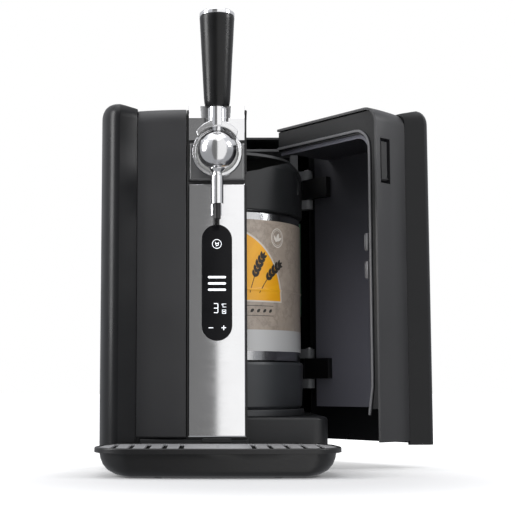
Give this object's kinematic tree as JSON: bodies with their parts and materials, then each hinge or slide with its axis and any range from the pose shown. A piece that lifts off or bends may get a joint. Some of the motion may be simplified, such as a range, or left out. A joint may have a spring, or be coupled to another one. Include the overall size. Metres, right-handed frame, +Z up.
{
  "type": "mini keg beer dispenser",
  "caption": "Counter-top beer dispenser for a mini keg: chrome tap column, dark side shells, hinged side door open on a cooled chamber, drip tray with a slotted grid.",
  "frame": {"origin": "middle of the box round the whole dispenser with its door open as in the picture, at the height of the feet", "axes": "+Z up, -Y the side with the tap and the drip tray, +X the side with the door"},
  "size_m": [0.3721, 0.4438, 0.4965],
  "materials": {
    "satin_charcoal": "satin charcoal paint",
    "black_plastic": "black moulded plastic",
    "grey_plastic": "dark grey moulded plastic",
    "chrome": "polished chrome",
    "brushed_steel": "satin steel",
    "aluminium": "plain aluminium",
    "gloss_black": "gloss black display window",
    "label_print": "printed band with a plain design",
    "circuit_green": "green circuit board",
    "rubber": "soft black rubber",
    "clear_hose": "milky soft tube",
    "ceramic_white": "white, smooth"
  },
  "bodies": {
    "machine": {"air_hose": "rubber", "air_pump": "brushed_steel", "base_plinth": "satin_charcoal", "beer_tube": "clear_hose", "chamber_ceiling": "black_plastic", "chamber_liner": "black_plastic", "column_frame": "black_plastic", "control_board": "circuit_green", "cooling_module": "ceramic_white", "cooling_plate": "aluminium", "display_board": "circuit_green", "display_window": "gloss_black", "fan_frame": "black_plastic", "foot_front_left": "rubber", "foot_front_right": "rubber", "foot_rear_left": "rubber", "foot_rear_right": "rubber", "front_trim": "chrome", "heat_sink": "aluminium", "hinge_pin_lower": "brushed_steel", "hinge_pin_upper": "brushed_steel", "hinge_post": "grey_plastic", "keg_coupler": "black_plastic", "keg_seat": "grey_plastic", "left_front_panel": "satin_charcoal", "left_side_shell": "satin_charcoal", "power_inlet": "black_plastic", "power_supply": "aluminium", "rear_panel": "black_plastic", "right_rear_shell": "satin_charcoal", "spout_nozzle": "black_plastic", "spout_tube": "chrome", "tap_block": "chrome", "tap_cap_plate": "chrome", "tap_collar": "chrome", "tap_inlet": "black_plastic", "tap_seat_ring": "ceramic_white", "tap_shank": "brushed_steel", "top_cover": "satin_charcoal"},
    "tap_handle": {"tap_ball": "chrome", "tap_lever": "chrome", "tap_grip": "black_plastic", "tap_grip_cap": "chrome"},
    "door": {"door_side_shell": "satin_charcoal", "door_front_panel": "satin_charcoal", "door_liner": "grey_plastic", "door_seal": "grey_plastic", "door_arm_lower": "black_plastic", "door_arm_upper": "black_plastic", "latch_pin": "brushed_steel"},
    "latch": {"latch_lever": "black_plastic"},
    "tray": {"drip_tray": "black_plastic", "tray_tab": "black_plastic"},
    "grid": {"drip_grid": "brushed_steel"},
    "keg": {"keg_shell": "brushed_steel", "keg_crown": "black_plastic", "keg_base_ring": "black_plastic", "keg_label": "label_print", "keg_valve": "black_plastic"},
    "fan": {"fan_rotor": "black_plastic"}
  },
  "joints": [
    {"name": "tap_hinge", "type": "hinge", "parent": "machine", "child": "tap_handle", "pos_m": [-0.0535, -0.1441, 0.342], "axis": [1, 0, 0], "range_deg": [0, 45]},
    {"name": "door_hinge", "type": "hinge", "parent": "machine", "child": "door", "pos_m": [0.0645, 0.0999, 0.2], "axis": [0, 0, 1], "range_deg": [-38, 56.5]},
    {"name": "latch_hinge", "type": "hinge", "parent": "door", "child": "latch", "pos_m": [0.12567, -0.10103, 0.319], "axis": [0.788, 0.6157, 0], "range_deg": [0, 12], "stiffness_Nm_per_rad": 0.05, "springref_deg": -17.19},
    {"name": "tray_slide", "type": "slide", "parent": "machine", "child": "tray", "axis": [0, -1, 0], "range_m": [0, 0.13]},
    {"name": "grid_lift", "type": "slide", "parent": "tray", "child": "grid", "axis": [0, 0, 1], "range_m": [0, 0.04]},
    {"name": "keg_turn", "type": "hinge", "parent": "machine", "child": "keg", "pos_m": [-0.0535, 0.0159, 0.2], "axis": [0, 0, 1], "range_deg": [-60, 60]},
    {"name": "fan_spin", "type": "hinge", "parent": "machine", "child": "fan", "pos_m": [-0.0535, 0.1681, 0.2], "axis": [0, 1, 0], "continuous": true}
  ]
}
